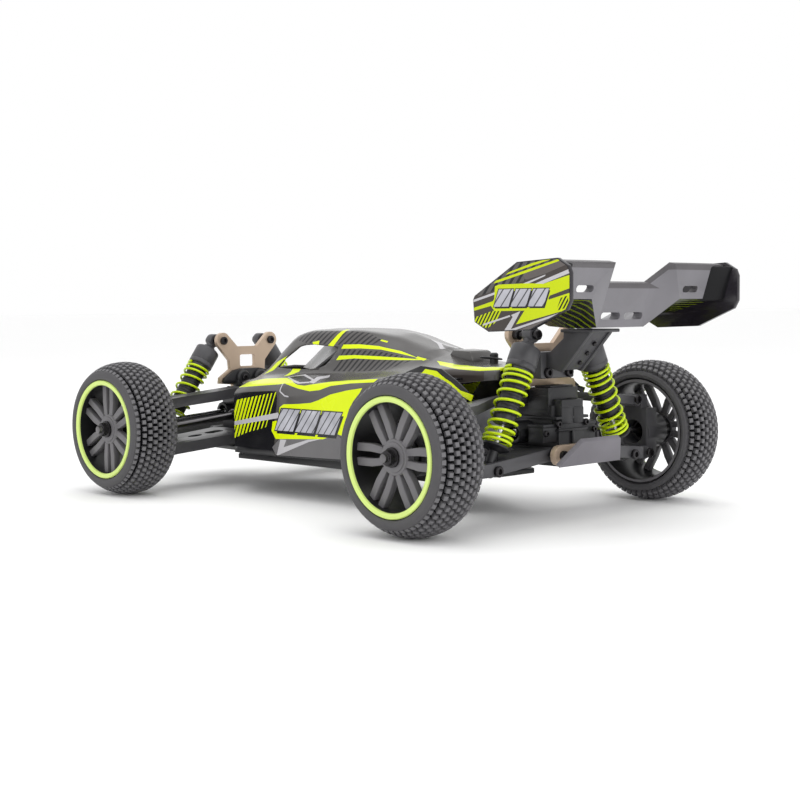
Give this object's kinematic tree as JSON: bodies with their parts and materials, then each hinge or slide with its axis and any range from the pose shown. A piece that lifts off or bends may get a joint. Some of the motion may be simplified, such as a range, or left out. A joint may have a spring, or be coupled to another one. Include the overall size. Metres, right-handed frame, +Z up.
{
  "type": "radio-controlled buggy",
  "caption": "Toy-size four-wheel-drive off-road buggy with a painted shell, rear wing, coil-over shock absorbers, steering and studded tyres.",
  "frame": {"origin": "on the ground under the middle of the overall length and width", "axes": "-Y towards the nose, +X towards the vehicle's left side, +Z up"},
  "size_m": [0.242, 0.4, 0.1398],
  "materials": {
    "black_nylon": "black moulded nylon, fine satin grain",
    "grey_nylon": "grey moulded plastic, satin",
    "bronze_alloy": "bronze anodised sheet, satin",
    "steel": "turned steel, bright",
    "rubber": "soft black rubber with square studs",
    "rim_plastic": "dark grey plastic with a bright yellow-green ring",
    "neon_spring": "yellow-green enamelled spring wire",
    "painted_shell": "thin clear shell painted inside in charcoal and yellow-green stripes",
    "motor_can": "anodised can",
    "battery_wrap": "shrink wrap"
  },
  "bodies": {
    "chassis": {"chassis_plate": "black_nylon", "body_shell": "painted_shell", "front_bumper": "black_nylon", "front_gearbox": "black_nylon", "rear_gearbox": "black_nylon", "front_shock_tower": "bronze_alloy", "rear_shock_tower": "bronze_alloy", "wing_mount": "black_nylon", "rear_wing": "grey_nylon", "rear_bumper": "grey_nylon", "motor": "motor_can", "battery_pack": "battery_wrap", "radio_tray": "black_nylon"},
    "centre_drive": {"centre_driveshaft": "steel"},
    "servo_saver": {"servo_saver": "black_nylon"},
    "steering_link": {"steering_link": "black_nylon"},
    "front_left_lower_arm": {"front_left_lower_arm": "black_nylon"},
    "front_left_upper_arm": {"front_left_upper_arm": "black_nylon"},
    "front_left_hub": {"front_left_hub": "black_nylon"},
    "front_left_driveshaft": {"front_left_driveshaft": "steel"},
    "front_left_shock_body": {"front_left_shock_body": "black_nylon", "front_left_spring": "neon_spring"},
    "front_left_shock_rod": {"front_left_shock_rod": "steel"},
    "front_left_wheel": {"front_left_rim": "rim_plastic", "front_left_tyre": "rubber", "front_left_axle": "steel"},
    "front_left_knuckle": {"front_left_knuckle": "black_nylon"},
    "front_left_tie_rod": {"front_left_tie_rod": "black_nylon"},
    "front_right_lower_arm": {"front_right_lower_arm": "black_nylon"},
    "front_right_upper_arm": {"front_right_upper_arm": "black_nylon"},
    "front_right_hub": {"front_right_hub": "black_nylon"},
    "front_right_driveshaft": {"front_right_driveshaft": "steel"},
    "front_right_shock_body": {"front_right_shock_body": "black_nylon", "front_right_spring": "neon_spring"},
    "front_right_shock_rod": {"front_right_shock_rod": "steel"},
    "front_right_wheel": {"front_right_rim": "rim_plastic", "front_right_tyre": "rubber", "front_right_axle": "steel"},
    "front_right_knuckle": {"front_right_knuckle": "black_nylon"},
    "front_right_tie_rod": {"front_right_tie_rod": "black_nylon"},
    "rear_left_lower_arm": {"rear_left_lower_arm": "black_nylon"},
    "rear_left_upper_arm": {"rear_left_upper_arm": "black_nylon"},
    "rear_left_hub": {"rear_left_hub": "black_nylon"},
    "rear_left_driveshaft": {"rear_left_driveshaft": "steel"},
    "rear_left_shock_body": {"rear_left_shock_body": "black_nylon", "rear_left_spring": "neon_spring"},
    "rear_left_shock_rod": {"rear_left_shock_rod": "steel"},
    "rear_left_wheel": {"rear_left_rim": "rim_plastic", "rear_left_tyre": "rubber", "rear_left_axle": "steel"},
    "rear_right_lower_arm": {"rear_right_lower_arm": "black_nylon"},
    "rear_right_upper_arm": {"rear_right_upper_arm": "black_nylon"},
    "rear_right_hub": {"rear_right_hub": "black_nylon"},
    "rear_right_driveshaft": {"rear_right_driveshaft": "steel"},
    "rear_right_shock_body": {"rear_right_shock_body": "black_nylon", "rear_right_spring": "neon_spring"},
    "rear_right_shock_rod": {"rear_right_shock_rod": "steel"},
    "rear_right_wheel": {"rear_right_rim": "rim_plastic", "rear_right_tyre": "rubber", "rear_right_axle": "steel"}
  },
  "joints": [
    {"name": "centre_drive_spin", "type": "hinge", "parent": "chassis", "child": "centre_drive", "pos_m": [0, -0.015, 0.036], "axis": [0, 1, 0], "continuous": true},
    {"name": "front_left_suspension", "type": "hinge", "parent": "chassis", "child": "front_left_lower_arm", "pos_m": [0.0155, -0.142, 0.0325], "axis": [0, -1, 0], "range_deg": [-8, 12], "stiffness_Nm_per_rad": 3, "springref_deg": -5.16},
    {"name": "front_left_upper_arm_pivot", "type": "hinge", "parent": "chassis", "child": "front_left_upper_arm", "pos_m": [0.017, -0.142, 0.0613], "axis": [0, -1, 0], "range_deg": [-8.5, 12.5]},
    {"name": "front_left_hub_pivot", "type": "hinge", "parent": "front_left_lower_arm", "child": "front_left_hub", "pos_m": [0.078, -0.142, 0.0261], "axis": [0, -1, 0], "range_deg": [-12.5, 8.5]},
    {"name": "front_left_driveshaft_pivot", "type": "hinge", "parent": "chassis", "child": "front_left_driveshaft", "pos_m": [0.022, -0.142, 0.0484], "axis": [0, -1, 0], "range_deg": [-7.5, 11]},
    {"name": "front_left_shock_pivot", "type": "hinge", "parent": "chassis", "child": "front_left_shock_body", "pos_m": [0.02, -0.157, 0.0955], "axis": [0, -1, 0], "range_deg": [-4, 6]},
    {"name": "front_left_shock_slide", "type": "slide", "parent": "front_left_shock_body", "child": "front_left_shock_rod", "axis": [0.5743, 0, -0.8187], "range_m": [-0.0095, 0.0065], "deforming": ["front_left_spring"]},
    {"name": "steering", "type": "hinge", "parent": "front_left_hub", "child": "front_left_knuckle", "pos_m": [0.093, -0.142, 0.042], "axis": [0, 0, 1], "range_deg": [-22, 22]},
    {"name": "front_left_tie_rod_pivot", "type": "hinge", "parent": "steering_link", "child": "front_left_tie_rod", "pos_m": [0.0255, -0.1275, 0.0464], "axis": [0, -1, 0], "range_deg": [-8, 11.5]},
    {"name": "front_left_wheel_spin", "type": "hinge", "parent": "front_left_knuckle", "child": "front_left_wheel", "pos_m": [0.093, -0.142, 0.042], "axis": [1, 0, 0], "continuous": true},
    {"name": "front_right_suspension", "type": "hinge", "parent": "chassis", "child": "front_right_lower_arm", "pos_m": [-0.0155, -0.142, 0.0325], "axis": [0, 1, 0], "range_deg": [-8, 12], "stiffness_Nm_per_rad": 3, "springref_deg": -5.16},
    {"name": "front_right_upper_arm_pivot", "type": "hinge", "parent": "chassis", "child": "front_right_upper_arm", "pos_m": [-0.017, -0.142, 0.0613], "axis": [0, 1, 0], "range_deg": [-8.5, 12.5]},
    {"name": "front_right_hub_pivot", "type": "hinge", "parent": "front_right_lower_arm", "child": "front_right_hub", "pos_m": [-0.078, -0.142, 0.0261], "axis": [0, 1, 0], "range_deg": [-12.5, 8.5]},
    {"name": "front_right_driveshaft_pivot", "type": "hinge", "parent": "chassis", "child": "front_right_driveshaft", "pos_m": [-0.022, -0.142, 0.0484], "axis": [0, 1, 0], "range_deg": [-7.5, 11]},
    {"name": "front_right_shock_pivot", "type": "hinge", "parent": "chassis", "child": "front_right_shock_body", "pos_m": [-0.02, -0.157, 0.0955], "axis": [0, 1, 0], "range_deg": [-4, 6]},
    {"name": "front_right_shock_slide", "type": "slide", "parent": "front_right_shock_body", "child": "front_right_shock_rod", "axis": [-0.5743, 0, -0.8187], "range_m": [-0.0095, 0.0065], "deforming": ["front_right_spring"]},
    {"name": "front_right_steering", "type": "hinge", "parent": "front_right_hub", "child": "front_right_knuckle", "pos_m": [-0.093, -0.142, 0.042], "axis": [0, 0, 1], "range_deg": [-22.5, 22.5]},
    {"name": "front_right_tie_rod_pivot", "type": "hinge", "parent": "steering_link", "child": "front_right_tie_rod", "pos_m": [-0.0255, -0.1275, 0.0464], "axis": [0, 1, 0], "range_deg": [-8, 11.5]},
    {"name": "front_right_wheel_spin", "type": "hinge", "parent": "front_right_knuckle", "child": "front_right_wheel", "pos_m": [-0.093, -0.142, 0.042], "axis": [1, 0, 0], "continuous": true},
    {"name": "rear_left_suspension", "type": "hinge", "parent": "chassis", "child": "rear_left_lower_arm", "pos_m": [0.0155, 0.12, 0.037], "axis": [0, -1, 0], "range_deg": [-8, 12], "stiffness_Nm_per_rad": 3, "springref_deg": -5.16},
    {"name": "rear_left_upper_arm_pivot", "type": "hinge", "parent": "chassis", "child": "rear_left_upper_arm", "pos_m": [0.0155, 0.12, 0.0674], "axis": [0, -1, 0], "range_deg": [-8.5, 12.5]},
    {"name": "rear_left_hub_pivot", "type": "hinge", "parent": "rear_left_lower_arm", "child": "rear_left_hub", "pos_m": [0.078, 0.12, 0.0306], "axis": [0, -1, 0], "range_deg": [-12.5, 8.5]},
    {"name": "rear_left_driveshaft_pivot", "type": "hinge", "parent": "chassis", "child": "rear_left_driveshaft", "pos_m": [0.022, 0.12, 0.0484], "axis": [0, -1, 0], "range_deg": [-7.5, 11]},
    {"name": "rear_left_shock_pivot", "type": "hinge", "parent": "chassis", "child": "rear_left_shock_body", "pos_m": [0.0225, 0.1315, 0.1015], "axis": [0, -1, 0], "range_deg": [-4, 6]},
    {"name": "rear_left_shock_slide", "type": "slide", "parent": "rear_left_shock_body", "child": "rear_left_shock_rod", "axis": [0.4431, 0, -0.8965], "range_m": [-0.0095, 0.0065], "deforming": ["rear_left_spring"]},
    {"name": "rear_left_wheel_spin", "type": "hinge", "parent": "rear_left_hub", "child": "rear_left_wheel", "pos_m": [0.093, 0.12, 0.042], "axis": [1, 0, 0], "continuous": true},
    {"name": "rear_right_suspension", "type": "hinge", "parent": "chassis", "child": "rear_right_lower_arm", "pos_m": [-0.0155, 0.12, 0.037], "axis": [0, 1, 0], "range_deg": [-8, 12], "stiffness_Nm_per_rad": 3, "springref_deg": -5.16},
    {"name": "rear_right_upper_arm_pivot", "type": "hinge", "parent": "chassis", "child": "rear_right_upper_arm", "pos_m": [-0.0155, 0.12, 0.0674], "axis": [0, 1, 0], "range_deg": [-8.5, 12.5]},
    {"name": "rear_right_hub_pivot", "type": "hinge", "parent": "rear_right_lower_arm", "child": "rear_right_hub", "pos_m": [-0.078, 0.12, 0.0306], "axis": [0, 1, 0], "range_deg": [-12.5, 8.5]},
    {"name": "rear_right_driveshaft_pivot", "type": "hinge", "parent": "chassis", "child": "rear_right_driveshaft", "pos_m": [-0.022, 0.12, 0.0484], "axis": [0, 1, 0], "range_deg": [-7.5, 11]},
    {"name": "rear_right_shock_pivot", "type": "hinge", "parent": "chassis", "child": "rear_right_shock_body", "pos_m": [-0.0225, 0.1315, 0.1015], "axis": [0, 1, 0], "range_deg": [-4, 6]},
    {"name": "rear_right_shock_slide", "type": "slide", "parent": "rear_right_shock_body", "child": "rear_right_shock_rod", "axis": [-0.4431, 0, -0.8965], "range_m": [-0.0095, 0.0065], "deforming": ["rear_right_spring"]},
    {"name": "rear_right_wheel_spin", "type": "hinge", "parent": "rear_right_hub", "child": "rear_right_wheel", "pos_m": [-0.093, 0.12, 0.042], "axis": [1, 0, 0], "continuous": true},
    {"name": "servo_saver_turn", "type": "hinge", "parent": "chassis", "child": "servo_saver", "pos_m": [0.014, -0.103, 0.042], "axis": [0, 0, 1], "range_deg": [-22.5, 22.5]},
    {"name": "steering_link_slide", "type": "slide", "parent": "chassis", "child": "steering_link", "axis": [1, 0, 0], "range_m": [-0.006, 0.006]}
  ],
  "couplings": [
    {"joint": "front_left_upper_arm_pivot", "follows": "front_left_suspension", "ratio": 1},
    {"joint": "front_left_hub_pivot", "follows": "front_left_suspension", "ratio": -1},
    {"joint": "front_left_driveshaft_pivot", "follows": "front_left_suspension", "ratio": 0.88},
    {"joint": "front_left_shock_pivot", "follows": "front_left_suspension", "ratio": 0.397},
    {"joint": "front_left_shock_slide", "follows": "front_left_suspension", "m_per_rad": -0.0405},
    {"joint": "front_left_tie_rod_pivot", "follows": "front_left_suspension", "ratio": 0.926},
    {"joint": "front_right_upper_arm_pivot", "follows": "front_right_suspension", "ratio": 1},
    {"joint": "front_right_hub_pivot", "follows": "front_right_suspension", "ratio": -1},
    {"joint": "front_right_driveshaft_pivot", "follows": "front_right_suspension", "ratio": 0.88},
    {"joint": "front_right_shock_pivot", "follows": "front_right_suspension", "ratio": 0.397},
    {"joint": "front_right_shock_slide", "follows": "front_right_suspension", "m_per_rad": -0.0405},
    {"joint": "front_right_steering", "follows": "steering", "ratio": 1},
    {"joint": "front_right_tie_rod_pivot", "follows": "front_right_suspension", "ratio": 0.926},
    {"joint": "rear_left_upper_arm_pivot", "follows": "rear_left_suspension", "ratio": 1},
    {"joint": "rear_left_hub_pivot", "follows": "rear_left_suspension", "ratio": -1},
    {"joint": "rear_left_driveshaft_pivot", "follows": "rear_left_suspension", "ratio": 0.88},
    {"joint": "rear_left_shock_pivot", "follows": "rear_left_suspension", "ratio": 0.289},
    {"joint": "rear_left_shock_slide", "follows": "rear_left_suspension", "m_per_rad": -0.0354},
    {"joint": "rear_right_upper_arm_pivot", "follows": "rear_right_suspension", "ratio": 1},
    {"joint": "rear_right_hub_pivot", "follows": "rear_right_suspension", "ratio": -1},
    {"joint": "rear_right_driveshaft_pivot", "follows": "rear_right_suspension", "ratio": 0.88},
    {"joint": "rear_right_shock_pivot", "follows": "rear_right_suspension", "ratio": 0.289},
    {"joint": "rear_right_shock_slide", "follows": "rear_right_suspension", "m_per_rad": -0.0354},
    {"joint": "servo_saver_turn", "follows": "steering", "ratio": -1},
    {"joint": "steering_link_slide", "follows": "steering", "m_per_rad": -0.0145}
  ]
}
